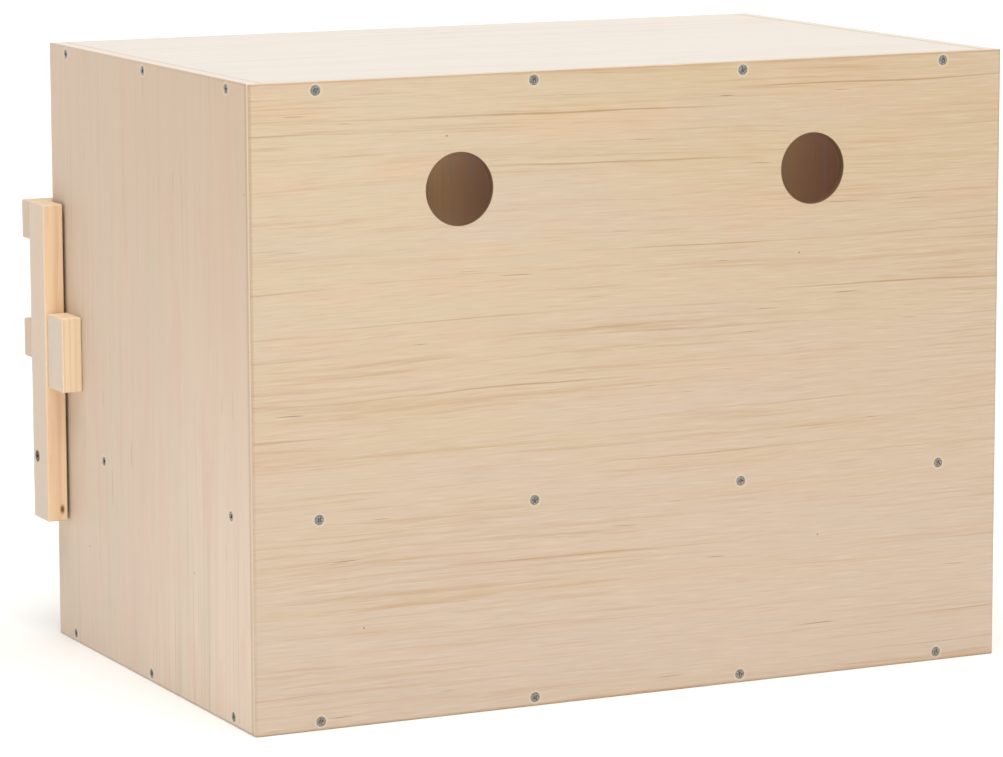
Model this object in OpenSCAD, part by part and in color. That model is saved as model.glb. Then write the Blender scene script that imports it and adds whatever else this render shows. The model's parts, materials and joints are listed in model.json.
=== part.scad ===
// Two-compartment laying nest for hens, with a fold-up perch frame.
// Millimetres. X is the width, -Y the open front, +Y the closed rear, +Z up.
// The origin is on the ground, under the middle of the overall box.
// Left and right are as seen from the front, so right is +X.

/* [Box] */
// Width of the box over its side panels
box_w = 594; // [440:1:800]
// Depth of the box, from the front edges to the rear face
box_d = 382; // [300:1:520]
// Height of the box
box_h = 450; // [400:1:600]
// Thickness of the side, top, bottom and floor boards
board_t = 12; // [10:0.5:18]
// Thickness of the rear panel
rear_t = 6; // [4:0.5:12]

/* [Nests] */
// Height of the middle of the nest floor above the ground
floor_z = 148; // [120:1:170]
// Thickness of the divider between the nests
divider_t = 12; // [10:0.5:18]
// Thickness of the litter board across the front
litter_t = 12; // [10:0.5:18]
// Height of the litter board above the top of the nest floor
litter_lip = 46; // [20:1:70]
// Depth of the litter board below the underside of the nest floor
litter_drop = 30; // [20:1:45]
// Diameter of the vent holes
vent_d = 51; // [30:1:70]
// Distance between the middles of the two vent holes
vent_spacing = 280; // [200:1:340]
// Distance from the top of the box to the middles of the vent holes
vent_drop = 79; // [60:1:110]

/* [Perch frame] */
// Length of the perch arms
arm_l = 240; // [200:1:280]
// Width of the arms, front to back when folded up
arm_w = 30; // [24:1:36]
// Thickness of the arms
arm_t = 16; // [12:0.5:20]
// Gap between an arm and the side panel
arm_gap = 2; // [1.5:0.1:4]
// Distance from the pivot to the lower end of an arm
arm_tail = 47.5; // [30:0.5:50]
// Distance from the pivot to the front face of an arm
arm_lead = 9; // [8:0.5:12]
// Distance from the middle of the nest floor down to the pivots
pivot_drop = 9; // [0:1:20]
// Height of the perch bars
bar_h = 29; // [20:1:34]
// Thickness of the perch bars
bar_t = 15; // [12:0.5:20]
// Distance from the top of one perch bar to the top of the next
bar_pitch = 90; // [60:1:110]
// Width of the small chamfer along the edges of arms, bars and blocks
ease = 1; // [0.5:0.1:2]

/* [Stop blocks] */
// Width of a stop block, front to back
block_w = 30; // [24:1:40]
// Height of a stop block
block_h = 56; // [44:1:70]
// Thickness of a stop block
block_t = 16; // [14:0.5:20]
// Distance from the pivot up to the underside of a stop block
block_rise = 55; // [54:1:80]
// Gap between a raised arm and its stop block
block_gap = 0.6; // [0.4:0.1:3]

/* [Screws] */
// Length of the screws that join the boards
screw_l = 30; // [25:1:35]
// Shank diameter of the screws
screw_d = 3.5; // [3:0.5:4]
// Head diameter of the screws
screw_head_d = 7; // [6:0.5:8]
// How far the pivot screws bite into the litter board
pivot_bite = 15; // [12:1:25]
// Shank diameter of the pivot screws
pivot_d = 5; // [4:0.5:6]
// Head diameter of the pivot screws
pivot_head_d = 9; // [8:0.5:11]
// Outer diameter of the washers behind the arms
washer_d = 14; // [12:0.5:16]
// Distance from a side edge of the rear panel to the nearest screws
rear_screw_inset = 49; // [30:1:80]
// Distance from the edges of a side panel to its end screws
side_screw_inset = 34; // [30:1:60]
// Distance from the front edge to the front floor screw in a side panel
floor_screw_inset = 99; // [60:1:140]
// Distance from the ends of the litter board to its outer screws
litter_screw_inset = 85; // [30:1:120]
// Distance from the ends of the divider to its end screws
divider_screw_inset = 40; // [30:1:80]
// Distance from the ends of a stop block to its screws
block_screw_inset = 14; // [10:1:18]
// Distance from the middle of a perch bar to its screws
bar_screw_step = 7; // [5:0.5:8]

/* [Hidden] */
$fn = 64;

// Colours of the finished pieces
ply_colour = "#dcc8ac";
pine_colour = "#e4c29b";
zinc_colour = "#a8a8a4";

// Fits and small allowances
screw_fit = 0.05;      // radial room of a screw in its own hole
pivot_fit = 0.08;      // radial room of a pivot screw in the turning arm
washer_room = 0.3;     // room left beside the washer for the arm to turn
head_sink = 0.2;       // how far a screw head lies below the surface
tip_l = 5;             // length of a screw's point
tip_d = 0.8;           // diameter of the blunt end of the point
slot_w = 1;            // width of a cross recess slot
slot_depth = 1.2;      // depth of the cross recess
slot_margin = 1.5;     // from the end of a slot to the edge of the head
block_cover = 4;       // wood left in front of a stop block's screw points
cut = 1;               // how far a cutting shape runs past a face

// Places that follow from the sizes above
arm_step = arm_lead - litter_t / 2;          // how far the arms stand in front of the box
overall_d = box_d + arm_step + bar_t;
rear_y = overall_d / 2;                      // rear face of the box
front_y = rear_y - box_d;                    // front edges of the box
side_x = box_w / 2;                          // outer face of the right side panel
inner_x = side_x - board_t;                  // inner face of the right side panel
inner_y = rear_y - rear_t;                   // inner face of the rear panel
shelf_y = front_y + litter_t;                // front edge of nest floor and divider
floor_top = floor_z + board_t / 2;
floor_under = floor_z - board_t / 2;
top_under = box_h - board_t;                 // underside of the top panel
pivot_y = front_y + litter_t / 2;            // pivots run into the litter board's ends
pivot_z = floor_z - pivot_drop;
pivot_screw_l = arm_t + arm_gap + board_t + pivot_bite;
arm_x = side_x + arm_gap;                    // inner face of the right arm
arm_outer_x = arm_x + arm_t;
arm_front_y = pivot_y - arm_lead;
arm_back_y = arm_front_y + arm_w;
arm_top_z = pivot_z + arm_l - arm_tail;
block_y = arm_back_y + block_gap;
block_z = pivot_z + block_rise;
block_screw_l = board_t + block_t - block_cover;

// Rows of screws
rear_screw_count = 4;
rear_screw_pitch = (box_w - 2 * rear_screw_inset) / (rear_screw_count - 1);
rear_screw_x = [for (i = [0:rear_screw_count - 1]) -side_x + rear_screw_inset + i * rear_screw_pitch];
edge_screw_y = evenly(front_y + side_screw_inset, inner_y - side_screw_inset);
floor_screw_y = [front_y + floor_screw_inset, inner_y - side_screw_inset];
litter_screw_x = [litter_screw_inset - inner_x, 0, inner_x - litter_screw_inset];
divider_screw_y = evenly(shelf_y + divider_screw_inset, inner_y - divider_screw_inset);
block_screw_z = [block_z + block_screw_inset, block_z + block_h - block_screw_inset];

// Both ends of a row and the middle between them
function evenly(first, last) = [first, (first + last) / 2, last];

// ---------- shared shapes ----------

// Countersunk screw along -Z with its head's flat face at z = 0.
// 'room' grows it sideways, and 'over' runs the head upwards, to make its hole.
module screw_shape(l, d, head_d, room = 0, over = 0) {
    head_h = (head_d - d) / 2;
    rotate_extrude()
        polygon([
            [0, over],
            [head_d / 2 + room, over],
            [head_d / 2 + room, 0],
            [d / 2 + room, -head_h],
            [d / 2 + room, -(l - tip_l)],
            [tip_d / 2 + room, -l - room],
            [0, -l - room]
        ]);
}

// A finished screw: the shape above with its cross recess
module screw(l, d, head_d) {
    slot_l = head_d - 2 * slot_margin;
    difference() {
        screw_shape(l, d, head_d);
        for (turn = [0, 90])
            rotate([0, 0, turn])
                translate([-slot_l / 2, -slot_w / 2, -slot_depth])
                    cube([slot_l, slot_w, slot_depth + cut]);
    }
}

module board_screw() screw(screw_l, screw_d, screw_head_d);
module board_hole() screw_shape(screw_l, screw_d, screw_head_d, screw_fit, cut);
module block_screw() screw(block_screw_l, screw_d, screw_head_d);
module block_hole() screw_shape(block_screw_l, screw_d, screw_head_d, screw_fit, cut);
module pivot_screw() screw(pivot_screw_l, pivot_d, pivot_head_d);
module pivot_hole(room) screw_shape(pivot_screw_l, pivot_d, pivot_head_d, room, cut);

// Stick along Z, from the origin into +X and +Y, with its long edges eased
module stick(x, y, z) {
    linear_extrude(z)
        polygon([
            [ease, 0], [x - ease, 0], [x, ease], [x, y - ease],
            [x - ease, y], [ease, y], [0, y - ease], [0, ease]
        ]);
}

// Everything beside the box is drawn for the right side and mirrored for the left
module on_left() mirror([1, 0, 0]) children();

// ---------- places of the screws ----------

// One row through the rear panel, heads to the rear
module at_rear_row(z) {
    for (x = rear_screw_x)
        translate([x, rear_y - head_sink, z])
            rotate([-90, 0, 0]) children();
}

// One row through the right side panel, heads outwards
module at_side_row(z, ys) {
    for (y = ys)
        translate([side_x - head_sink, y, z])
            rotate([0, 90, 0]) children();
}

module at_all_side_rows() {
    at_side_row(box_h - board_t / 2, edge_screw_y) children();
    at_side_row(floor_z, floor_screw_y) children();
    at_side_row(board_t / 2, edge_screw_y) children();
}

module at_pivot() {
    translate([arm_outer_x - head_sink, pivot_y, pivot_z])
        rotate([0, 90, 0]) children();
}

// Into the stop block, driven from inside the box
module at_block_screws() {
    for (z = block_screw_z)
        translate([inner_x + head_sink, block_y + block_w / 2, z])
            rotate([0, -90, 0]) children();
}

// Through the litter board into the front edge of the nest floor
module at_litter_screws() {
    for (x = litter_screw_x)
        translate([x, front_y + head_sink, floor_z])
            rotate([90, 0, 0]) children();
}

// Up through the nest floor into the divider
module at_divider_screws() {
    for (y = divider_screw_y)
        translate([0, y, floor_under + head_sink])
            rotate([180, 0, 0]) children();
}

// Through a perch bar into both arms; z is the bar's top
module at_bar_screws(z) {
    for (side = [-1, 1])
        for (step = [-bar_screw_step, bar_screw_step])
            translate([side * (arm_x + arm_t / 2), arm_front_y - bar_t + head_sink, z - bar_h / 2 + step])
                rotate([90, 0, 0]) children();
}

// ---------- box ----------

// Holes of one level board: a row from the rear and one from each side
module rim_holes(z, ys) {
    at_rear_row(z) board_hole();
    at_side_row(z, ys) board_hole();
    on_left() at_side_row(z, ys) board_hole();
}

module rear_panel() {
    color(ply_colour)
        difference() {
            translate([-side_x, inner_y, 0]) cube([box_w, rear_t, box_h]);
            for (side = [-1, 1])
                translate([side * vent_spacing / 2, inner_y - cut, box_h - vent_drop])
                    rotate([-90, 0, 0]) cylinder(h = rear_t + 2 * cut, d = vent_d);
            for (z = [board_t / 2, floor_z, box_h - board_t / 2])
                at_rear_row(z) board_hole();
        }
}

module side_panel_right() {
    color(ply_colour)
        difference() {
            translate([inner_x, front_y, 0]) cube([board_t, inner_y - front_y, box_h]);
            at_all_side_rows() board_hole();
            at_pivot() pivot_hole(screw_fit);
            at_block_screws() block_hole();
        }
}

module side_panel_left() on_left() side_panel_right();

// A level board between the side panels, from y_from back to the rear panel
module level_board(y_from, z) {
    translate([-inner_x, y_from, z]) cube([2 * inner_x, inner_y - y_from, board_t]);
}

module top_panel() {
    color(ply_colour)
        difference() {
            level_board(front_y, top_under);
            rim_holes(box_h - board_t / 2, edge_screw_y);
        }
}

module bottom_panel() {
    color(ply_colour)
        difference() {
            level_board(front_y, 0);
            rim_holes(board_t / 2, edge_screw_y);
        }
}

module nest_floor() {
    color(ply_colour)
        difference() {
            level_board(shelf_y, floor_under);
            rim_holes(floor_z, floor_screw_y);
            at_litter_screws() board_hole();
            at_divider_screws() board_hole();
        }
}

module centre_divider() {
    color(ply_colour)
        difference() {
            translate([-divider_t / 2, shelf_y, floor_top])
                cube([divider_t, inner_y - shelf_y, top_under - floor_top]);
            at_divider_screws() board_hole();
        }
}

module front_litter_board() {
    color(pine_colour)
        difference() {
            translate([-inner_x, front_y, floor_under - litter_drop])
                cube([2 * inner_x, litter_t, litter_drop + board_t + litter_lip]);
            at_litter_screws() board_hole();
            at_pivot() pivot_hole(screw_fit);
            on_left() at_pivot() pivot_hole(screw_fit);
        }
}

module stop_block_right() {
    color(pine_colour)
        difference() {
            translate([side_x, block_y, block_z]) stick(block_t, block_w, block_h);
            at_block_screws() block_hole();
        }
}

module stop_block_left() on_left() stop_block_right();

// ---------- perch frame, folded up ----------

module perch_arm_right() {
    color(pine_colour)
        difference() {
            translate([arm_x, arm_front_y, pivot_z - arm_tail]) stick(arm_t, arm_w, arm_l);
            at_pivot() pivot_hole(pivot_fit);
            for (i = [0, 1])
                at_bar_screws(arm_top_z - i * bar_pitch) board_hole();
        }
}

module perch_arm_left() on_left() perch_arm_right();

// Perch bar across both arms, its top at z
module perch_bar(z) {
    color(pine_colour)
        difference() {
            translate([-arm_outer_x, arm_front_y - bar_t, z - bar_h])
                rotate([90, 0, 90]) stick(bar_t, bar_h, 2 * arm_outer_x);
            at_bar_screws(z) board_hole();
        }
}

module perch_bar_upper() perch_bar(arm_top_z);
module perch_bar_lower() perch_bar(arm_top_z - bar_pitch);

// ---------- screws and washers ----------

module pivot_screw_right() color(zinc_colour) at_pivot() pivot_screw();
module pivot_screw_left() on_left() pivot_screw_right();

module pivot_washer_right() {
    washer_t = arm_gap - washer_room;
    color(zinc_colour)
        translate([side_x, pivot_y, pivot_z])
            rotate([0, 90, 0])
                difference() {
                    cylinder(h = washer_t, d = washer_d);
                    translate([0, 0, -cut])
                        cylinder(h = washer_t + 2 * cut, d = pivot_d + 2 * screw_fit);
                }
}

module pivot_washer_left() on_left() pivot_washer_right();

module rear_panel_screws() {
    color(zinc_colour)
        for (z = [board_t / 2, floor_z, box_h - board_t / 2])
            at_rear_row(z) board_screw();
}

module side_panel_screws_right() color(zinc_colour) at_all_side_rows() board_screw();
module side_panel_screws_left() on_left() side_panel_screws_right();
module divider_screws() color(zinc_colour) at_divider_screws() board_screw();
module litter_board_screws() color(zinc_colour) at_litter_screws() board_screw();
module stop_block_screws_right() color(zinc_colour) at_block_screws() block_screw();
module stop_block_screws_left() on_left() stop_block_screws_right();
module upper_bar_screws() color(zinc_colour) at_bar_screws(arm_top_z) board_screw();
module lower_bar_screws() color(zinc_colour) at_bar_screws(arm_top_z - bar_pitch) board_screw();

rear_panel();
side_panel_left();
side_panel_right();
top_panel();
bottom_panel();
nest_floor();
centre_divider();
front_litter_board();
stop_block_left();
stop_block_right();
pivot_screw_left();
pivot_screw_right();
pivot_washer_left();
pivot_washer_right();
rear_panel_screws();
side_panel_screws_left();
side_panel_screws_right();
divider_screws();
litter_board_screws();
stop_block_screws_left();
stop_block_screws_right();
perch_arm_left();
perch_arm_right();
perch_bar_upper();
perch_bar_lower();
upper_bar_screws();
lower_bar_screws();
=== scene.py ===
"""Looks of a two-compartment laying nest for hens with a fold-up perch frame.

The boards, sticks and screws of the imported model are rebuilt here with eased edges, cut holes
and wood and steel finishes. Metres, in the model's own frame: -Y is the open front, +Z is up.
"""

import json
import math

import bmesh
import bpy
from mathutils import Matrix, Vector

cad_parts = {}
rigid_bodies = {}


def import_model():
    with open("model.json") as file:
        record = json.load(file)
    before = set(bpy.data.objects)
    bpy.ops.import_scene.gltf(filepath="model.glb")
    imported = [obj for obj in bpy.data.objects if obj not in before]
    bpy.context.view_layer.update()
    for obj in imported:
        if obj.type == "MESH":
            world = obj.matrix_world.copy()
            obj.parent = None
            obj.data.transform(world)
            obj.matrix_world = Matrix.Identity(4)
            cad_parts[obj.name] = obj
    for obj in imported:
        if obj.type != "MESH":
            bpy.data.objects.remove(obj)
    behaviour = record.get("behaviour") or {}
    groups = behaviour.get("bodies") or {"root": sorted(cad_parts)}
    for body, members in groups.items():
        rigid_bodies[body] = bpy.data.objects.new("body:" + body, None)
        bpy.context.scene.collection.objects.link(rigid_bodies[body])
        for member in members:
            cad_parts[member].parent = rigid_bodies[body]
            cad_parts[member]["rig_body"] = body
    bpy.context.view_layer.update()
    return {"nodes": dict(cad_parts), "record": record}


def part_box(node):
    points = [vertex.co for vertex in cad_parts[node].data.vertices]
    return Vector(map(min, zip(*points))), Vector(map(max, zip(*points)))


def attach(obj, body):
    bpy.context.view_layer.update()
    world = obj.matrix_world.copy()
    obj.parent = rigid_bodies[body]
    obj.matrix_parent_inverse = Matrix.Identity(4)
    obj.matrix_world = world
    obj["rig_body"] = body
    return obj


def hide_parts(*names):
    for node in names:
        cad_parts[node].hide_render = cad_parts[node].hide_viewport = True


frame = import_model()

MM = 0.001
AXES = {"X": Vector((1, 0, 0)), "Y": Vector((0, 1, 0)), "Z": Vector((0, 0, 1))}

# Edges: how much the sandpaper takes off
BOARD_EDGE = 0.7 * MM
STICK_EDGE = 1.3 * MM
EDGE_STEPS = 3

# Screws, sizes as in the design
WOOD_SCREW = {"length": 30 * MM, "shank": 3.5 * MM, "head": 7 * MM, "thread": 18 * MM}
BLOCK_SCREW = {"length": 24 * MM, "shank": 3.5 * MM, "head": 7 * MM, "thread": 12 * MM}
PIVOT_SCREW = {"length": 45 * MM, "shank": 5 * MM, "head": 9 * MM, "thread": 22 * MM}
COUNTERSINK_ROOM = 0.25 * MM

# The camera stands behind the box, to its right and a little above it
CAMERA_AT = Vector((1.482, 3.020, 0.736))
CAMERA_AZIMUTH = 154.03
CAMERA_ELEVATION = 9.05
CAMERA_ROLL = -0.18
CAMERA_LENS = 163.44
SENSOR = 36.0


# ---------- small helpers ----------

def paint(code):
    """sRGB hex to the linear RGBA that the nodes take."""
    channels = [int(code[i:i + 2], 16) / 255 for i in (1, 3, 5)]
    linear = [c / 12.92 if c <= 0.04045 else ((c + 0.055) / 1.055) ** 2.4 for c in channels]
    return (*linear, 1.0)


def add(tree, kind, inputs=None, **settings):
    """Adds a node with its settings; each input is a value or another node's output socket."""
    made = tree.nodes.new(kind)
    for name, value in settings.items():
        setattr(made, name, value)
    for key, value in (inputs or {}).items():
        set_input(tree, made.inputs[key], value)
    return made


def set_input(tree, socket, value):
    """Gives one input a value, or a link from another node's output socket."""
    if isinstance(value, bpy.types.NodeSocket):
        tree.links.new(value, socket)
    else:
        socket.default_value = value


def link_object(name, mesh):
    piece = bpy.data.objects.new(name, mesh)
    bpy.context.scene.collection.objects.link(piece)
    return piece


def apply_modifiers(piece):
    """Turns the piece with its modifiers into plain mesh."""
    graph = bpy.context.evaluated_depsgraph_get()
    mesh = bpy.data.meshes.new_from_object(piece.evaluated_get(graph))
    piece.modifiers.clear()
    old = piece.data
    piece.data = mesh
    bpy.data.meshes.remove(old)
    mesh.name = piece.name


def finish_piece(piece, node, material):
    """Gives the piece its material and its body, and hides the design's node that it stands for."""
    piece.data.materials.clear()
    piece.data.materials.append(material)
    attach(piece, frame["nodes"][node]["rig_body"])
    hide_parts(node)


# ---------- materials ----------

def new_material(name):
    material = bpy.data.materials.new(name)
    material.use_nodes = True
    tree = material.node_tree
    tree.nodes.clear()
    return material, tree


def close_material(tree, shader):
    add(tree, "ShaderNodeOutputMaterial", {"Surface": shader.outputs[0]})


def grain_place(tree, node, grain, normal):
    """Object coordinates centred on a board, X along its grain and Z through its thickness."""
    low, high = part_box(node)
    along, through = AXES[grain], AXES[normal]
    turn = Matrix((along, through.cross(along), through)).transposed().to_euler()
    coordinates = add(tree, "ShaderNodeTexCoord")
    return add(tree, "ShaderNodeMapping", {
        "Vector": coordinates.outputs["Object"],
        "Location": (low + high) / 2,
        "Rotation": turn,
    }, vector_type="TEXTURE").outputs[0]


def streaks(tree, place, long, tall, seed, detail=3.0):
    """Noise drawn out along the grain; one streak is about 'long' by 'tall' metres."""
    stretched = add(tree, "ShaderNodeMapping", {
        "Vector": place,
        "Location": (seed * 3.7, seed * 11.3, seed * 5.9),
        "Scale": (1 / long, 1 / tall, 1 / tall),
    })
    return add(tree, "ShaderNodeTexNoise", {
        "Vector": stretched.outputs[0], "Scale": 1.0, "Detail": detail, "Roughness": 0.55,
    }).outputs["Fac"]


def lay(tree, under, colour, pattern, start, full, strength=1.0):
    """Lays a colour over 'under' where the pattern goes from 'start' to 'full'."""
    amount = add(tree, "ShaderNodeMapRange", {
        "Value": pattern, "From Min": start, "From Max": full, "To Max": strength,
    }, interpolation_type="SMOOTHSTEP")
    return add(tree, "ShaderNodeMix", {
        0: amount.outputs[0], 6: under, 7: colour,
    }, data_type="RGBA").outputs[2]


def waver(tree, place, long, tall, seed, reach):
    """The place pushed across the grain by slow noise, so that the grain lines wander."""
    noise = streaks(tree, place, long, tall, seed, 1.0)
    centred = add(tree, "ShaderNodeMath", {0: noise, 1: 0.5}, operation="SUBTRACT")
    pushed = add(tree, "ShaderNodeVectorMath", {
        0: (0.0, reach, 0.0), "Scale": centred.outputs[0],
    }, operation="SCALE")
    return add(tree, "ShaderNodeVectorMath", {
        0: place, 1: pushed.outputs[0],
    }, operation="ADD").outputs[0]


def plywood(name, node, grain, normal, inside, tones, screws, seed):
    """Sanded plywood with a rotary-cut poplar veneer: pale, matt, with faint straight grain lines,
    short brown flecks and pin marks, and the layers of the core showing on cut edges.
    The veneer on the side that faces inwards is painted browner and darker, most so at the rear: painted
    shade inside the nest."""
    material, tree = new_material(name)
    place = grain_place(tree, node, grain, normal)
    low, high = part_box(node)
    size = high - low
    thickness = size.dot(AXES[normal])
    warped = waver(tree, place, long=900 * MM, tall=160 * MM, seed=seed, reach=28 * MM)
    warped = waver(tree, warped, long=120 * MM, tall=20 * MM, seed=seed + 1, reach=3.5 * MM)
    patterns = veneer_patterns(tree, warped, seed)

    colour = sheet_tones(tree, patterns, place, size, grain, normal, tones)
    colour = veneer_grain(tree, colour, patterns, place, tones)
    colour = bruises(tree, colour, paint(tones["light"]), screws)
    depth = add(tree, "ShaderNodeSeparateXYZ", {0: place}).outputs["Z"]
    skin = thickness / 2 - 0.2 * MM
    # The inward faces take the inner veneer's tones with their painted shade
    shaded_inner = unsanded_veneer(tree, patterns, tones)
    for side in inside:
        facing_in = add(tree, "ShaderNodeMath", {0: depth, 1: side}, operation="MULTIPLY").outputs[0]
        colour = lay(tree, colour, shaded_inner, facing_in, start=skin - 0.1 * MM, full=skin, strength=0.85)
    colour = plies(tree, colour, depth, thickness)
    if node == "rear_panel":
        colour = browned_rims(tree, colour)

    rough = add(tree, "ShaderNodeMapRange", {"Value": patterns["lines"], "To Min": 0.52, "To Max": 0.68})
    bump = add(tree, "ShaderNodeBump", {
        "Height": patterns["fibres"], "Strength": 0.25, "Distance": 0.2 * MM,
    })
    shader = add(tree, "ShaderNodeBsdfPrincipled", {
        "Base Color": colour, "Roughness": rough.outputs[0], "Normal": bump.outputs[0], "IOR": 1.45,
    })
    close_material(tree, shader)
    return material


def veneer_patterns(tree, place, seed):
    """What varies over a veneer, from clouds as wide as a hand down to the fibres."""
    clouds = {
        "warm": streaks(tree, place, long=800 * MM, tall=100 * MM, seed=seed + 2),
        "cool": streaks(tree, place, long=250 * MM, tall=50 * MM, seed=seed + 3),
        "blush": streaks(tree, place, long=120 * MM, tall=30 * MM, seed=seed + 9),
    }
    lines = streaks(tree, place, long=160 * MM, tall=2.8 * MM, seed=seed + 5)
    # The lines crowd together in some places and fade out in others
    crowds = streaks(tree, place, long=300 * MM, tall=22 * MM, seed=seed + 10, detail=1.0)
    crowded = add(tree, "ShaderNodeMath", {0: crowds, 1: 0.45, 2: lines}, operation="MULTIPLY_ADD")
    return {
        **clouds,
        "bands": streaks(tree, place, long=600 * MM, tall=14 * MM, seed=seed + 4),
        "lines": lines,
        "crowded lines": crowded.outputs[0],
        "dark lines": streaks(tree, place, long=450 * MM, tall=3 * MM, seed=seed + 8, detail=1.0),
        # Fibres are under half a millimetre wide; they are drawn coarser so that they show
        "fibres": streaks(tree, place, long=30 * MM, tall=1.2 * MM, seed=seed + 6, detail=2.0),
        "flecks": streaks(tree, place, long=60 * MM, tall=1.4 * MM, seed=seed + 7, detail=1.0),
    }


def sheet_tones(tree, patterns, place, size, grain, normal, tones):
    """The sheet's ground colour with its clouds, its painted shading from one end, or one edge,
    to the other, and its rims, darker for about two millimetres in from each edge."""
    colour = paint(tones["field"])
    colour = lay(tree, colour, paint(tones["warm"]), patterns["warm"], start=0.42, full=0.66)
    colour = lay(tree, colour, paint(tones["cool"]), patterns["cool"], start=0.46, full=0.68)
    colour = lay(tree, colour, paint(tones["blush"]), patterns["blush"], start=0.50, full=0.66)
    across = next(axis for axis in AXES if axis not in (grain, normal))
    dark_rim_width, fade = 1.9 * MM, 0.8 * MM
    # Painted light and shade: the sheet turns slowly to another tone towards one end and one edge, as the
    # light on it falls off
    for axis, width, sign, tone in (("X", grain, *tones["lengthwise"]), ("Y", across, *tones["crosswise"])):
        run = add(tree, "ShaderNodeSeparateXYZ", {0: place}).outputs[axis]
        reach = size.dot(AXES[width]) / 2
        colour = lay(tree, colour, paint(tone), run, start=-sign * reach, full=sign * reach, strength=0.7)
        # Each rim is darker for about two millimetres in from the edge
        from_middle = add(tree, "ShaderNodeMath", {0: run}, operation="ABSOLUTE").outputs[0]
        rim = reach - dark_rim_width
        colour = lay(
            tree, colour, paint(tones["dark"]), from_middle,
            start=rim, full=rim + fade, strength=0.38,
        )
    return colour


def veneer_grain(tree, under, patterns, place, tones):
    """Growth bands, grain lines, a few of them dark, fibres, short flecks and pin marks."""
    tone = {name: paint(tones[name]) for name in ("band", "line", "dark", "light", "fleck")}
    fibre = tones["fibre"]
    pale = 1.6 * fibre
    colour = lay(tree, under, tone["band"], patterns["bands"], start=0.48, full=0.78, strength=0.30)
    colour = lay(tree, colour, tone["line"], patterns["crowded lines"], start=0.73, full=1.02, strength=0.37)
    colour = lay(tree, colour, tone["dark"], patterns["dark lines"], start=0.66, full=0.80, strength=0.65)
    colour = lay(tree, colour, tone["line"], patterns["fibres"], start=0.50, full=0.80, strength=fibre)
    colour = lay(tree, colour, tone["light"], patterns["fibres"], start=0.50, full=0.22, strength=pale)
    colour = lay(tree, colour, tone["fleck"], patterns["flecks"], start=0.765, full=0.83, strength=0.75)
    pins_per_metre = 4.0
    pins = add(tree, "ShaderNodeTexVoronoi", {
        "Vector": place, "Scale": pins_per_metre,
    }, voronoi_dimensions="2D").outputs["Distance"]
    # The texture counts distance in its own cells; a pin mark is about 1.3 mm wide
    rim, heart = 0.75 * MM * pins_per_metre, 0.5 * MM * pins_per_metre
    return lay(tree, colour, tone["fleck"], pins, start=rim, full=heart, strength=0.8)


def unsanded_veneer(tree, patterns, tones):
    """The inner veneer with painted shade: tan at the front, browner and darker towards the rear, deeper
    inside the nest.
    """
    at = add(tree, "ShaderNodeTexCoord").outputs["Object"]
    backwards = add(tree, "ShaderNodeSeparateXYZ", {0: at}).outputs["Y"]
    at_front, at_rear = (paint(tone) for tone in tones["back"])
    dark = paint(tones["dark"])
    colour = lay(tree, at_front, at_rear, backwards, start=-150 * MM, full=0.0)
    colour = lay(tree, colour, dark, patterns["bands"], start=0.45, full=0.75, strength=0.45)
    return lay(tree, colour, dark, patterns["crowded lines"], start=0.73, full=1.02, strength=0.55)


def bruises(tree, under, pale, screws):
    """Paints the wood paler in a ring round each screw head."""
    place = add(tree, "ShaderNodeTexCoord").outputs["Object"]
    whole, faded = 0.6 * MM, 2.2 * MM
    for node in screws:
        facing, size = SCREWS[node]
        head = size["head"] / 2
        for spot in screw_places(node, facing):
            away = add(tree, "ShaderNodeVectorMath", {
                0: place, 1: spot,
            }, operation="DISTANCE").outputs["Value"]
            under = lay(tree, under, pale, away, start=head + faded, full=head + whole, strength=0.5)
    return under


def plies(tree, veneer, depth, thickness):
    """The layers on a cut edge: under the face veneer, long grain and end grain take turns."""
    ply = 1.3 * MM
    count = max(3, 2 * round((thickness / ply - 1) / 2) + 1)
    share = add(tree, "ShaderNodeMath", {0: depth, 1: 1 / thickness, 2: 0.5}, operation="MULTIPLY_ADD")
    ramp = add(tree, "ShaderNodeValToRGB", {0: share.outputs[0]})
    ramp.color_ramp.interpolation = "CONSTANT"
    layers = [paint("#dfd0ba"), paint("#cfb898")]
    ramp.color_ramp.elements.remove(ramp.color_ramp.elements[1])
    ramp.color_ramp.elements[0].color = layers[0]
    for i in range(1, count):
        ramp.color_ramp.elements.new(i / count).color = layers[i % 2]
    # Painted light: the uppermost edges face up to the lamp like the top panel and are painted as pale as it
    at = add(tree, "ShaderNodeTexCoord").outputs["Object"]
    height = add(tree, "ShaderNodeSeparateXYZ", {0: at}).outputs["Z"]
    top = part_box("top_panel")[1].z
    pale = paint(TOP_LIT_TONES["field"])
    lit_from = top - 0.9 * MM
    layered = lay(tree, ramp.outputs[0], pale, height, start=lit_from, full=lit_from + 0.4 * MM, strength=0.85)
    from_middle = add(tree, "ShaderNodeMath", {0: depth}, operation="ABSOLUTE").outputs[0]
    face = thickness / 2 - 0.9 * thickness / count
    return lay(tree, veneer, layered, from_middle, start=face, full=face - 0.1 * MM)


def browned_rims(tree, under):
    """The hole saw has browned the wall of each vent hole."""
    place = add(tree, "ShaderNodeTexCoord").outputs["Object"]
    flat = add(tree, "ShaderNodeVectorMath", {0: place, 1: (1.0, 0.0, 1.0)}, operation="MULTIPLY")
    whole, faded = 0.1 * MM, 0.5 * MM
    for middle, radius in vent_holes():
        away = add(tree, "ShaderNodeVectorMath", {
            0: flat.outputs[0], 1: (middle.x, 0.0, middle.z),
        }, operation="DISTANCE").outputs["Value"]
        under = lay(
            tree, under, paint("#6f4a28"), away,
            start=radius + faded, full=radius + whole, strength=0.95,
        )
    return under


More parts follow.
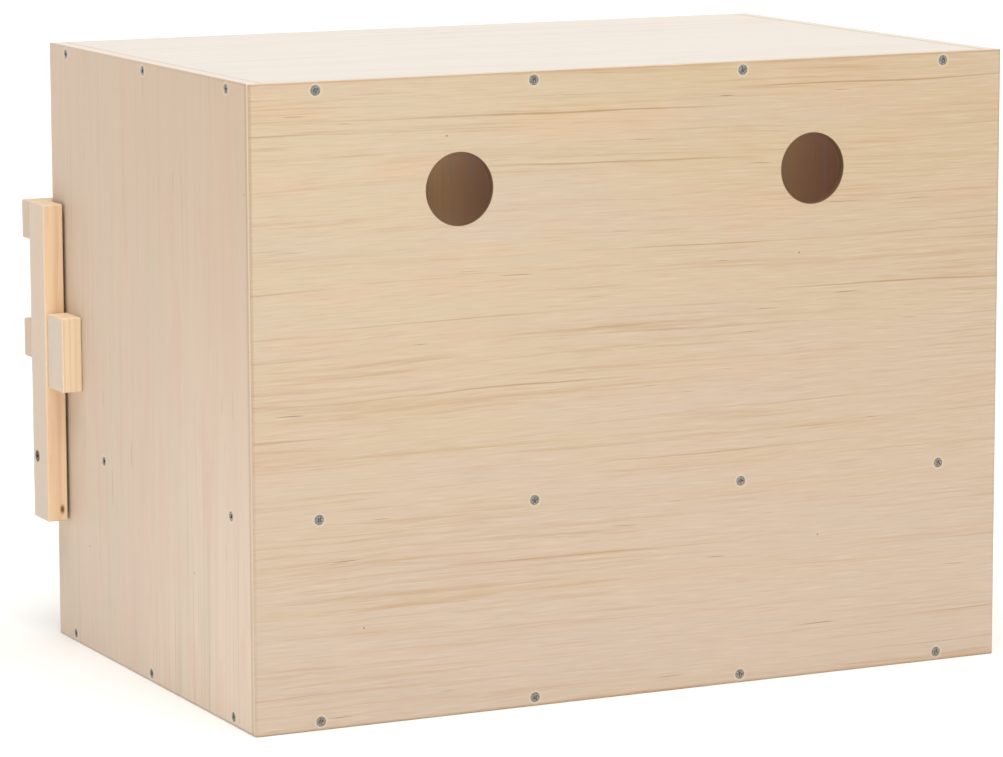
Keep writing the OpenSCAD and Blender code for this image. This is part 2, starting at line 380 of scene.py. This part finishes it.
def pine(name, node, grain, normal, tones, pith, seed, knots=()):
    """Planed pine: faint orange late wood lines, curved on the ends. The wide faces have greyed
    in the light, the narrow ones are freshly planed and more orange."""
    material, tree = new_material(name)
    place = grain_place(tree, node, grain, normal)
    low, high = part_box(node)
    face = (high - low).dot(AXES[normal]) / 2
    end = (high - low).dot(AXES[grain]) / 2
    warped = waver(tree, place, long=200 * MM, tall=30 * MM, seed=seed, reach=6 * MM)

    depth, along = (
        add(tree, "ShaderNodeMath", {
            0: add(tree, "ShaderNodeSeparateXYZ", {0: place}).outputs[axis],
        }, operation="ABSOLUTE").outputs[0]
        for axis in ("Z", "X")
    )
    tone = {key: paint(code) for key, code in tones.items()}
    patches = streaks(tree, warped, long=150 * MM, tall=12 * MM, seed=seed + 1)
    fibres = streaks(tree, warped, long=20 * MM, tall=1 * MM, seed=seed + 2, detail=2.0)
    late = late_wood(tree, warped, pith)
    colour = lay(tree, tone["edge"], tone["face"], depth, start=face - 0.7 * MM, full=face - 0.1 * MM)
    colour = lay(tree, colour, tone["warm"], patches, start=0.42, full=0.72, strength=0.40)
    colour = lay(tree, colour, tone["late"], late, start=0.15, full=1.0, strength=0.20)
    colour = lay(tree, colour, tone["late"], fibres, start=0.52, full=0.80, strength=0.15)
    for spot in knots:
        colour = knot(tree, colour, spot)
    colour = lay(tree, colour, tone["end"], along, start=end - 0.7 * MM, full=end - 0.2 * MM, strength=0.6)

    bump = add(tree, "ShaderNodeBump", {"Height": fibres, "Strength": 0.25, "Distance": 0.2 * MM})
    shader = add(tree, "ShaderNodeBsdfPrincipled", {
        "Base Color": colour, "Roughness": 0.55, "Normal": bump.outputs[0], "IOR": 1.45,
    })
    close_material(tree, shader)
    return material


def late_wood(tree, place, pith):
    """Year rings about the pith: in each year the wood darkens slowly and then ends sharply."""
    from_pith = add(tree, "ShaderNodeVectorMath", {0: place, 1: (0.0, *pith)}, operation="SUBTRACT")
    flat = add(tree, "ShaderNodeVectorMath", {
        0: from_pith.outputs[0], 1: (0.0, 1.0, 1.0),
    }, operation="MULTIPLY")
    radius = add(tree, "ShaderNodeVectorMath", {0: flat.outputs[0]}, operation="LENGTH")
    ring_width = 3.4 * MM
    rings = add(tree, "ShaderNodeMath", {0: radius.outputs["Value"], 1: ring_width}, operation="DIVIDE")
    year = add(tree, "ShaderNodeMath", {0: rings.outputs[0]}, operation="FRACT").outputs[0]
    late = add(tree, "ShaderNodeFloatCurve", {"Value": year})
    set_curve(late.mapping.curves[0], [(0.0, 0.75), (0.12, 0.05), (0.55, 0.12), (0.9, 0.95), (1.0, 0.75)])
    return late.outputs[0]


def set_curve(curve, points):
    """Moves a float curve's points, adding those between its two ends."""
    for x, y in points[1:-1]:
        curve.points.new(x, y)
    for point, (x, y) in zip(curve.points, points):
        point.location = (x, y)


def knot(tree, under, spot):
    """A small sound knot at a point of a face, twice as tall as wide: brown heart, reddish rim."""
    away = add(tree, "ShaderNodeMapping", {
        "Vector": add(tree, "ShaderNodeTexCoord").outputs["Object"],
        "Location": spot, "Scale": (1.0, 1.0, 2.0),
    }, vector_type="TEXTURE").outputs[0]
    reach = add(tree, "ShaderNodeVectorMath", {0: away}, operation="LENGTH").outputs["Value"]
    rim = lay(tree, under, paint("#c08a52"), reach, start=2.6 * MM, full=1.2 * MM, strength=0.7)
    return lay(tree, rim, paint("#6a4526"), reach, start=1.6 * MM, full=0.8 * MM, strength=0.9)


def steel(name, light, dark):
    """Steel screws and washers with a thin plated or oiled skin, slightly cloudy."""
    material, tree = new_material(name)
    place = add(tree, "ShaderNodeTexCoord").outputs["Object"]
    clouds_per_metre = 900.0
    cloud = add(tree, "ShaderNodeTexNoise", {
        "Vector": place, "Scale": clouds_per_metre, "Detail": 2.0,
    }).outputs["Fac"]
    colour = lay(tree, paint(light), paint(dark), cloud, start=0.40, full=0.65)
    rough = add(tree, "ShaderNodeMapRange", {"Value": cloud, "To Min": 0.25, "To Max": 0.45})
    shader = add(tree, "ShaderNodeBsdfPrincipled", {
        "Base Color": colour, "Metallic": 1.0, "Roughness": rough.outputs[0],
    })
    close_material(tree, shader)
    return material


# ---------- boards and sticks ----------

def eased_block(name, node, ease):
    """A block as large as the design's node, its edges rounded by 'ease'."""
    low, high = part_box(node)
    mesh = bpy.data.meshes.new(name)
    shape = bmesh.new()
    bmesh.ops.create_cube(shape, size=1.0)
    size, middle = high - low, (high + low) / 2
    bmesh.ops.transform(shape, matrix=Matrix.LocRotScale(middle, None, size), verts=shape.verts)
    bmesh.ops.bevel(
        shape, geom=shape.edges[:], offset=ease, offset_type="OFFSET",
        segments=EDGE_STEPS, profile=0.5, affect="EDGES",
    )
    shape.to_mesh(mesh)
    shape.free()
    return link_object(name, mesh)


def lathe(shape, profile, place, facing, steps):
    """Adds a closed turned solid; the profile lists (radius, height), and height runs along 'facing'."""
    turn = facing.to_track_quat("Z", "Y").to_matrix().to_4x4()
    place = Matrix.Translation(place) @ turn
    rings = []
    for radius, height in profile:
        angles = [2 * math.pi * i / steps for i in range(steps)]
        rings.append([
            shape.verts.new(place @ Vector((radius * math.cos(a), radius * math.sin(a), height)))
            for a in angles
        ])
    for lower, upper in zip(rings, rings[1:]):
        for i in range(steps):
            j = (i + 1) % steps
            shape.faces.new((lower[i], lower[j], upper[j], upper[i]))
    shape.faces.new(reversed(rings[0]))
    shape.faces.new(rings[-1])


def screw_places(node, facing):
    """The middle of each screw head in a node of screws that all face one way."""
    shape = bmesh.new()
    shape.from_mesh(frame["nodes"][node].data)
    bmesh.ops.remove_doubles(shape, verts=shape.verts, dist=0.01 * MM)
    left = set(shape.verts)
    places = []
    while left:
        island = {left.pop()}
        edge = list(island)
        while edge:
            vert = edge.pop()
            near = {e.other_vert(vert) for e in vert.link_edges} & left
            left -= near
            island |= near
            edge.extend(near)
        low = Vector([min(v.co[i] for v in island) for i in range(3)])
        high = Vector([max(v.co[i] for v in island) for i in range(3)])
        middle = (low + high) / 2
        reach = abs((high - low).dot(facing)) / 2
        places.append(middle + facing * reach)
    shape.free()
    return sorted(places, key=lambda p: tuple(round(c, 5) for c in p))


def cut_screw_holes(shape, node, facing, size):
    """Adds the countersunk hole of each screw in the node to the cutting shape."""
    over = 2 * MM
    head = size["head"] / 2 + COUNTERSINK_ROOM
    shank = size["shank"] / 2 + COUNTERSINK_ROOM / 2
    profile = [
        (shank, -size["length"]), (shank, -(head - shank)), (head, 0.0), (head, over),
    ]
    for place in screw_places(node, facing):
        lathe(shape, profile, place, facing, steps=24)


def cut_away(piece, cutter):
    """Takes a bmesh of closed cutting shapes out of the piece."""
    if not cutter.faces:
        cutter.free()
        return
    mesh = bpy.data.meshes.new("cutter")
    cutter.to_mesh(mesh)
    cutter.free()
    tool = link_object("cutter", mesh)
    step = piece.modifiers.new("cut", "BOOLEAN")
    step.operation = "DIFFERENCE"
    step.solver = "EXACT"
    step.object = tool
    apply_modifiers(piece)
    bpy.data.objects.remove(tool)
    bpy.data.meshes.remove(mesh)


# ---------- screws by geometry nodes ----------

def screw_tree():
    """Geometry nodes: on each point a countersunk screw with cross recess and thread, turned at random."""
    tree = bpy.data.node_groups.new("countersunk_screws", "GeometryNodeTree")
    given = screw_inputs(tree)
    head_radius, shank_radius = (
        add(tree, "ShaderNodeMath", {0: given[name], 1: 0.5}, operation="MULTIPLY").outputs[0]
        for name in ("Head Diameter", "Shank Diameter")
    )
    tip = 5 * MM
    above_tip = add(tree, "ShaderNodeMath", {0: tip, 1: given["Length"]}, operation="SUBTRACT").outputs[0]
    body = screw_body(tree, given, head_radius, shank_radius, above_tip)
    screw = add(tree, "GeometryNodeJoinGeometry", {0: cross_recess(tree, given, body)})
    tree.links.new(screw_thread(tree, given, shank_radius, above_tip), screw.inputs[0])
    placed = driven_in(tree, given, screw.outputs[0])
    real = add(tree, "GeometryNodeRealizeInstances", {"Geometry": placed})
    coated = add(tree, "GeometryNodeSetMaterial", {
        "Geometry": real.outputs[0], "Material": given["Material"],
    })
    add(tree, "NodeGroupOutput", {"Geometry": coated.outputs[0]})
    return tree


def screw_inputs(tree):
    """Gives the tree its named inputs and its output, and returns the inputs' sockets."""
    face = tree.interface
    face.new_socket("Geometry", in_out="INPUT", socket_type="NodeSocketGeometry")
    for name, default in (
        ("Length", 30 * MM), ("Shank Diameter", 3.5 * MM), ("Head Diameter", 7 * MM),
        ("Thread Length", 17 * MM), ("Thread Pitch", 1.8 * MM), ("Slot Width", 1.1 * MM),
    ):
        socket = face.new_socket(name, in_out="INPUT", socket_type="NodeSocketFloat")
        socket.default_value = default
    face.new_socket("Seed", in_out="INPUT", socket_type="NodeSocketInt")
    face.new_socket("Material", in_out="INPUT", socket_type="NodeSocketMaterial")
    face.new_socket("Geometry", in_out="OUTPUT", socket_type="NodeSocketGeometry")
    return add(tree, "NodeGroupInput").outputs


def screw_body(tree, given, head_radius, shank_radius, above_tip):
    """Head, shank and tip: four points down the axis, each with its radius, swept with a circle."""
    tip_radius = 0.4 * MM
    under_head = add(tree, "ShaderNodeMath", {0: shank_radius, 1: head_radius}, operation="SUBTRACT")
    end = add(tree, "ShaderNodeMath", {0: given["Length"], 1: -1.0}, operation="MULTIPLY")
    heights = (0.0, under_head.outputs[0], above_tip, end.outputs[0])
    radii = (head_radius, shank_radius, shank_radius, tip_radius)
    spine = add(tree, "GeometryNodeMeshLine", {"Count": len(heights)})
    index = add(tree, "GeometryNodeInputIndex").outputs[0]
    height, width = (
        add(tree, "GeometryNodeIndexSwitch", data_type="FLOAT") for _ in range(2)
    )
    for switch, values in ((height, heights), (width, radii)):
        tree.links.new(index, switch.inputs["Index"])
        while len(switch.index_switch_items) < len(values):
            switch.index_switch_items.new()
        for i, value in enumerate(values):
            set_input(tree, switch.inputs[str(i)], value)
    at = add(tree, "ShaderNodeCombineXYZ", {"Z": height.outputs[0]})
    line = add(tree, "GeometryNodeSetPosition", {"Geometry": spine.outputs[0], "Position": at.outputs[0]})
    axis = add(tree, "GeometryNodeMeshToCurve", {"Mesh": line.outputs[0]})
    circle = add(tree, "GeometryNodeCurvePrimitiveCircle", {"Resolution": 32, "Radius": 1.0})
    return add(tree, "GeometryNodeCurveToMesh", {
        "Curve": axis.outputs[0], "Profile Curve": circle.outputs["Curve"],
        "Scale": width.outputs[0], "Fill Caps": True,
    }).outputs[0]


def cross_recess(tree, given, body):
    """Cuts two crossed slots and a cone into the head, a little narrower than it."""
    head_left = 1.5 * MM
    slot_deep = 1.6 * MM
    cone_radius, cone_deep, cone_lift = 1.3 * MM, 1.5 * MM, 0.1 * MM
    slot_long = add(tree, "ShaderNodeMath", {
        0: given["Head Diameter"], 1: 2 * head_left,
    }, operation="SUBTRACT").outputs[0]
    recessed = add(tree, "GeometryNodeMeshBoolean", {"Mesh 1": body}, operation="DIFFERENCE", solver="EXACT")
    for x, y in ((slot_long, given["Slot Width"]), (given["Slot Width"], slot_long)):
        size = add(tree, "ShaderNodeCombineXYZ", {"X": x, "Y": y, "Z": slot_deep})
        slot = add(tree, "GeometryNodeMeshCube", {"Size": size.outputs[0]})
        tree.links.new(slot.outputs["Mesh"], recessed.inputs["Mesh 2"])
    # Not a multiple of eight sides, so that no side's edge meets a corner between the slots
    cone = add(tree, "GeometryNodeMeshCone", {
        "Vertices": 18, "Radius Top": 0.0, "Radius Bottom": cone_radius, "Depth": cone_deep,
    })
    cone_down = add(tree, "GeometryNodeTransform", {
        "Geometry": cone.outputs["Mesh"],
        "Translation": (0.0, 0.0, cone_lift), "Rotation": (math.pi, 0.0, 0.0),
    })
    tree.links.new(cone_down.outputs[0], recessed.inputs["Mesh 2"])
    return recessed.outputs["Mesh"]


def screw_thread(tree, given, shank_radius, above_tip):
    """A helix with a three-sided section, up the shank from above the tip."""
    crest = 0.45 * MM
    turns = add(tree, "ShaderNodeMath", {
        0: given["Thread Length"], 1: given["Thread Pitch"],
    }, operation="DIVIDE")
    helix = add(tree, "GeometryNodeCurveSpiral", {
        "Resolution": 14, "Rotations": turns.outputs[0], "Start Radius": shank_radius,
        "End Radius": shank_radius, "Height": given["Thread Length"],
    })
    section = add(tree, "GeometryNodeCurvePrimitiveCircle", {"Resolution": 3, "Radius": crest})
    thread = add(tree, "GeometryNodeCurveToMesh", {
        "Curve": helix.outputs[0], "Profile Curve": section.outputs["Curve"], "Fill Caps": True,
    })
    drop = add(tree, "ShaderNodeCombineXYZ", {"Z": above_tip})
    return add(tree, "GeometryNodeTransform", {
        "Geometry": thread.outputs[0], "Translation": drop.outputs[0],
    }).outputs[0]


def driven_in(tree, given, screw):
    """A screw on each point, its head outwards, turned at random about its own axis."""
    facing = add(tree, "GeometryNodeInputNamedAttribute", {"Name": "facing"}, data_type="FLOAT_VECTOR")
    upright = add(tree, "FunctionNodeAlignRotationToVector", {"Vector": facing.outputs[0]}, axis="Z")
    spin = add(tree, "FunctionNodeRandomValue", {2: 0.0, 3: math.pi, 8: given["Seed"]}, data_type="FLOAT")
    turn = add(tree, "FunctionNodeAxisAngleToRotation", {"Axis": (0.0, 0.0, 1.0), "Angle": spin.outputs[1]})
    rotation = add(tree, "FunctionNodeRotateRotation", {
        "Rotation": upright.outputs[0], "Rotate By": turn.outputs[0],
    }, rotation_space="LOCAL")
    return add(tree, "GeometryNodeInstanceOnPoints", {
        "Points": given["Geometry"], "Instance": screw, "Rotation": rotation.outputs[0],
    }).outputs[0]


def screw_set(tree, node, facing, size, material, seed):
    """The screws of one node, each where the design has it."""
    name = node + "_finished"
    places = screw_places(node, facing)
    mesh = bpy.data.meshes.new(name)
    mesh.from_pydata(places, [], [])
    attribute = mesh.attributes.new("facing", "FLOAT_VECTOR", "POINT")
    for entry in attribute.data:
        entry.vector = facing
    piece = link_object(name, mesh)
    step = piece.modifiers.new("screws", "NODES")
    step.node_group = tree
    values = {
        "Length": size["length"], "Shank Diameter": size["shank"], "Head Diameter": size["head"],
        "Thread Length": size["thread"], "Seed": seed, "Material": material,
    }
    for socket in tree.interface.items_tree:
        if socket.in_out == "INPUT" and socket.name in values:
            step[socket.identifier] = values[socket.name]
    apply_modifiers(piece)
    finish_piece(piece, node, material)


# ---------- the nest ----------

RIGHT, LEFT = AXES["X"], -AXES["X"]
REAR, FRONT = AXES["Y"], -AXES["Y"]
DOWN = -AXES["Z"]

SCREWS = {
    "rear_panel_screws": (REAR, WOOD_SCREW),
    "side_panel_screws_left": (LEFT, WOOD_SCREW),
    "side_panel_screws_right": (RIGHT, WOOD_SCREW),
    "divider_screws": (DOWN, WOOD_SCREW),
    "litter_board_screws": (FRONT, WOOD_SCREW),
    "stop_block_screws_left": (RIGHT, BLOCK_SCREW),
    "stop_block_screws_right": (LEFT, BLOCK_SCREW),
    "upper_bar_screws": (FRONT, WOOD_SCREW),
    "lower_bar_screws": (FRONT, WOOD_SCREW),
    "pivot_screw_left": (LEFT, PIVOT_SCREW),
    "pivot_screw_right": (RIGHT, PIVOT_SCREW),
}

# Veneers differ from sheet to sheet: the rear is yellower, the sides are greyer and pinker
# "back": the inner veneer, painted browner and darker as shade inside the nest, at the front of the nest and
# at its rear
# "fibre": how plainly the fibres show
# "lengthwise" and "crosswise": painted shading, which way along the grain, or across it, the sheet turns to
# that tone as the light on it falls off
REAR_TONES = {
    "field": "#d4c1a2", "warm": "#d6bf9a", "cool": "#d3c0a9", "band": "#cdb18b",
    "blush": "#d9be9f", "line": "#b68b5c", "dark": "#ab8153", "light": "#dfcfb6",
    "fleck": "#7b5433", "back": ("#d4b084", "#c39a68"), "fibre": 0.24,
    "lengthwise": (-1, "#cab190"), "crosswise": (1, "#cbb8a9"),
}
SIDE_TONES = {
    "field": "#e1cdb9", "warm": "#dfc5b1", "cool": "#d9cbb5", "band": "#cfb599",
    "blush": "#dec3b1", "line": "#c6a98d", "dark": "#b1947a", "light": "#e5d6c3",
    "fleck": "#8e6a4b", "back": ("#dcb06a", "#bb702e"), "fibre": 0.06,
    "lengthwise": (1, "#c7ad91"), "crosswise": (1, "#cfbba7"),
}
# The top has the same veneer as the other sheets, painted paler and greyer: painted light, for the strong
# light from above
TOP_LIT_TONES = {
    "field": "#dcd5cd", "warm": "#ded4c8", "cool": "#dbd3cd", "band": "#d7cbbd",
    "blush": "#ded3ca", "line": "#c8b49a", "dark": "#bfa98e", "light": "#e4dfd8",
    "fleck": "#a08263", "back": ("#d4b084", "#c39a68"), "fibre": 0.14,
    "lengthwise": (1, "#dcd5cc"), "crosswise": (1, "#dcd5cc"),
}

# Planed pine: wide faces, narrow faces, darker patches, late wood lines, sawn ends
ARM_TONES = {"face": "#d2c4b4", "edge": "#f8dbb8", "warm": "#e6b98e", "late": "#cf9c68", "end": "#d8c6ae"}
BLOCK_TONES = {"face": "#d1c4b5", "edge": "#f8e1c0", "warm": "#e6c79f", "late": "#d3a877", "end": "#e3cfae"}
BAR_TONES = {"face": "#e2cca9", "edge": "#dfc5a3", "warm": "#dcbd92", "late": "#cfa06c", "end": "#bdafa3"}

# node: grain, thickness direction, sides along it that face inwards, tones,
# screws whose heads are sunk into it
PANELS = {
    "rear_panel": ("X", "Y", [-1], REAR_TONES, ["rear_panel_screws"]),
    "side_panel_left": (
        "Z", "X", [1], SIDE_TONES, ["side_panel_screws_left", "stop_block_screws_left"],
    ),
    "side_panel_right": (
        "Z", "X", [-1], SIDE_TONES, ["side_panel_screws_right", "stop_block_screws_right"],
    ),
    "top_panel": ("X", "Z", [-1], TOP_LIT_TONES, []),
    "bottom_panel": ("X", "Z", [1], REAR_TONES, []),
    "nest_floor": ("X", "Z", [-1, 1], REAR_TONES, ["divider_screws"]),
    "centre_divider": ("Z", "X", [-1, 1], SIDE_TONES, []),
}

# node: grain, thickness direction, tones, pith (across, through) in metres, screws sunk into it
STICKS = {
    "front_litter_board": ("X", "Y", BAR_TONES, (0.030, -0.055), ["litter_board_screws"]),
    "stop_block_left": ("Z", "X", BLOCK_TONES, (0.040, 0.030), []),
    "stop_block_right": ("Z", "X", BLOCK_TONES, (-0.035, 0.028), []),
    "perch_arm_left": ("Z", "X", ARM_TONES, (0.050, 0.012), ["pivot_screw_left"]),
    "perch_arm_right": ("Z", "X", ARM_TONES, (-0.048, 0.014), ["pivot_screw_right"]),
    "perch_bar_upper": ("X", "Y", BAR_TONES, (0.010, 0.046), ["upper_bar_screws"]),
    "perch_bar_lower": ("X", "Y", BAR_TONES, (-0.034, 0.038), ["lower_bar_screws"]),
}


def vent_holes():
    """The middle and the radius of each vent hole in the rear panel."""
    panel = frame["nodes"]["rear_panel"].data
    low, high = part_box("rear_panel")
    holes = []
    for opening in frame["record"]["physics"]["openings"]:
        if not opening["name"].startswith("vent_"):
            continue
        near, far = (Vector(corner) for corner in opening["box_m"])
        middle = Vector(((near.x + far.x) / 2, (low.y + high.y) / 2, (near.z + far.z) / 2))
        reach = far.x - near.x
        away = [math.hypot(v.co.x - middle.x, v.co.z - middle.z) for v in panel.vertices]
        holes.append((middle, max(d for d in away if d < reach)))
    return holes


def cut_vents(shape):
    """Adds the vent holes, their rims eased, to the rear panel's cutting shape."""
    low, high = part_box("rear_panel")
    half = (high.y - low.y) / 2
    ease, over = 0.5 * MM, 2 * MM
    for middle, radius in vent_holes():
        profile = [
            (radius + ease, -half - over), (radius + ease, -half), (radius, -half + ease),
            (radius, half - ease), (radius + ease, half), (radius + ease, half + over),
        ]
        lathe(shape, profile, middle, REAR, steps=120)


def make_panels():
    """Each plywood sheet with its countersunk holes, and the rear one with its vent holes."""
    for seed, (node, (grain, normal, inside, tones, screws)) in enumerate(PANELS.items()):
        piece = eased_block(node + "_board", node, BOARD_EDGE)
        cutter = bmesh.new()
        for screw_node in screws:
            facing, size = SCREWS[screw_node]
            cut_screw_holes(cutter, screw_node, facing, size)
        if node == "rear_panel":
            cut_vents(cutter)
        cut_away(piece, cutter)
        material = plywood("poplar_plywood_" + node, node, grain, normal, inside, tones, screws, seed)
        finish_piece(piece, node, material)


def arm_knots(node):
    """The right arm has one small knot, low on its rear face."""
    if node != "perch_arm_right":
        return ()
    low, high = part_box(node)
    from_box_side, from_end = 4.5 * MM, 9 * MM
    return (Vector((low.x + from_box_side, high.y, low.z + from_end)),)


def make_sticks():
    """Each pine stick with its countersunk holes."""
    for seed, (node, (grain, normal, tones, pith, screws)) in enumerate(STICKS.items()):
        piece = eased_block(node + "_stick", node, STICK_EDGE)
        cutter = bmesh.new()
        for screw_node in screws:
            facing, size = SCREWS[screw_node]
            cut_screw_holes(cutter, screw_node, facing, size)
        cut_away(piece, cutter)
        name = "planed_pine_" + node
        material = pine(name, node, grain, normal, tones, pith, seed + 20, arm_knots(node))
        finish_piece(piece, node, material)


def make_washers(material):
    """Flat washers with softly rounded rims, turned about the pivots."""
    for node, facing in (("pivot_washer_left", LEFT), ("pivot_washer_right", RIGHT)):
        low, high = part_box(node)
        middle = (low + high) / 2
        thick = high.x - low.x
        outer = (high.z - low.z) / 2
        inner = PIVOT_SCREW["shank"] / 2 + COUNTERSINK_ROOM / 2
        soft = 0.3 * MM
        section = [
            (inner, -thick / 2), (outer - soft, -thick / 2), (outer, -thick / 2 + soft),
            (outer, thick / 2 - soft), (outer - soft, thick / 2), (inner, thick / 2),
        ]
        shape = bmesh.new()
        ring_solid(shape, section, middle, facing, steps=48)
        mesh = bpy.data.meshes.new(node + "_turned")
        shape.to_mesh(mesh)
        shape.free()
        finish_piece(link_object(node + "_turned", mesh), node, material)


def ring_solid(shape, section, place, facing, steps):
    """Adds a turned ring: the closed section lists (radius, height) anticlockwise."""
    turn = facing.to_track_quat("Z", "Y").to_matrix().to_4x4()
    place = Matrix.Translation(place) @ turn
    loops = []
    for i in range(steps):
        a = 2 * math.pi * i / steps
        loops.append([
            shape.verts.new(place @ Vector((r * math.cos(a), r * math.sin(a), h))) for r, h in section
        ])
    for i in range(steps):
        here, there = loops[i], loops[(i + 1) % steps]
        for k in range(len(section)):
            n = (k + 1) % len(section)
            shape.faces.new((here[k], there[k], there[n], here[n]))


def make_screws(zinc, oiled):
    """All the screws: the pivots are oiled, the others zinc plated."""
    tree = screw_tree()
    for seed, (node, (facing, size)) in enumerate(SCREWS.items()):
        material = oiled if size is PIVOT_SCREW else zinc
        screw_set(tree, node, facing, size, material, seed)


# ---------- studio ----------

def make_floor():
    """A plain pale studio floor just under the box."""
    mesh = bpy.data.meshes.new("studio_floor")
    reach, drop = 40.0, 0.2 * MM
    corners = [(x * reach, y * reach, -drop) for x, y in ((-1, -1), (1, -1), (1, 1), (-1, 1))]
    mesh.from_pydata(corners, [], [(0, 1, 2, 3)])
    floor = link_object("studio_floor", mesh)
    material, tree = new_material("white_studio_floor")
    place = add(tree, "ShaderNodeTexCoord").outputs["Object"]
    clouds_per_metre = 3.0
    cloud = add(tree, "ShaderNodeTexNoise", {"Vector": place, "Scale": clouds_per_metre}).outputs["Fac"]
    colour = lay(tree, paint("#fbfbfa"), paint("#f8f8f7"), cloud, start=0.3, full=0.7)
    shader = add(tree, "ShaderNodeBsdfPrincipled", {"Base Color": colour, "Roughness": 0.9})
    close_material(tree, shader)
    mesh.materials.append(material)


def make_lights():
    """A pale studio, brightest all round at eye level, and one large soft lamp overhead."""
    world = bpy.data.worlds.new("studio")
    world.use_nodes = True
    world.node_tree.nodes.clear()
    tree = world.node_tree
    direction = add(tree, "ShaderNodeTexCoord").outputs["Generated"]
    height = add(tree, "ShaderNodeSeparateXYZ", {0: direction}).outputs["Z"]
    # As bright as the floor at the horizon, so that the two run into one another
    at_horizon, overhead = 1.16, 0.40
    fade_from, fade_to = 0.08, 0.28
    strength = add(tree, "ShaderNodeMapRange", {
        "Value": height, "From Min": fade_from, "From Max": fade_to,
        "To Min": at_horizon, "To Max": overhead,
    }, interpolation_type="SMOOTHSTEP")
    sky = add(tree, "ShaderNodeBackground", {
        "Color": (0.97, 0.985, 1.0, 1.0), "Strength": strength.outputs[0],
    })
    add(tree, "ShaderNodeOutputWorld", {"Surface": sky.outputs[0]})
    bpy.context.scene.world = world

    lamp = bpy.data.lights.new("soft_key", "SUN")
    lamp.energy = 2.95
    lamp.angle = math.radians(60)
    lamp.color = (1.0, 0.975, 0.945)
    key = bpy.data.objects.new("soft_key", lamp)
    towards = Vector((0.05, 0.20, 0.98))
    key.rotation_euler = towards.to_track_quat("Z", "Y").to_euler()
    bpy.context.scene.collection.objects.link(key)


def make_camera():
    """The camera looks level along its azimuth, then down by its elevation, then rolls a little."""
    lens = bpy.data.cameras.new("camera")
    lens.lens = CAMERA_LENS
    lens.sensor_width = SENSOR
    lens.clip_end = 200
    camera = bpy.data.objects.new("camera", lens)
    azimuth, elevation = math.radians(CAMERA_AZIMUTH), math.radians(CAMERA_ELEVATION)
    back = Vector((
        math.sin(azimuth) * math.cos(elevation),
        -math.cos(azimuth) * math.cos(elevation),
        math.sin(elevation),
    ))
    level = Vector((math.cos(azimuth), math.sin(azimuth), 0.0))
    turn = Matrix((level, back.cross(level), back)).transposed().to_4x4()
    roll = Matrix.Rotation(math.radians(CAMERA_ROLL), 4, "Z")
    camera.matrix_world = Matrix.Translation(CAMERA_AT) @ turn @ roll
    bpy.context.scene.collection.objects.link(camera)
    bpy.context.scene.camera = camera


make_camera()
make_lights()
make_floor()
make_panels()
make_sticks()
# Zinc plating leaves a pale grey skin; the pivots are darker under a film of oil
zinc = steel("zinc_plated_steel", "#9c9a95", "#73716d")
make_screws(zinc, steel("oiled_dark_steel", "#6b5542", "#46362a"))
make_washers(zinc)
bpy.context.scene.view_settings.view_transform = "Standard"
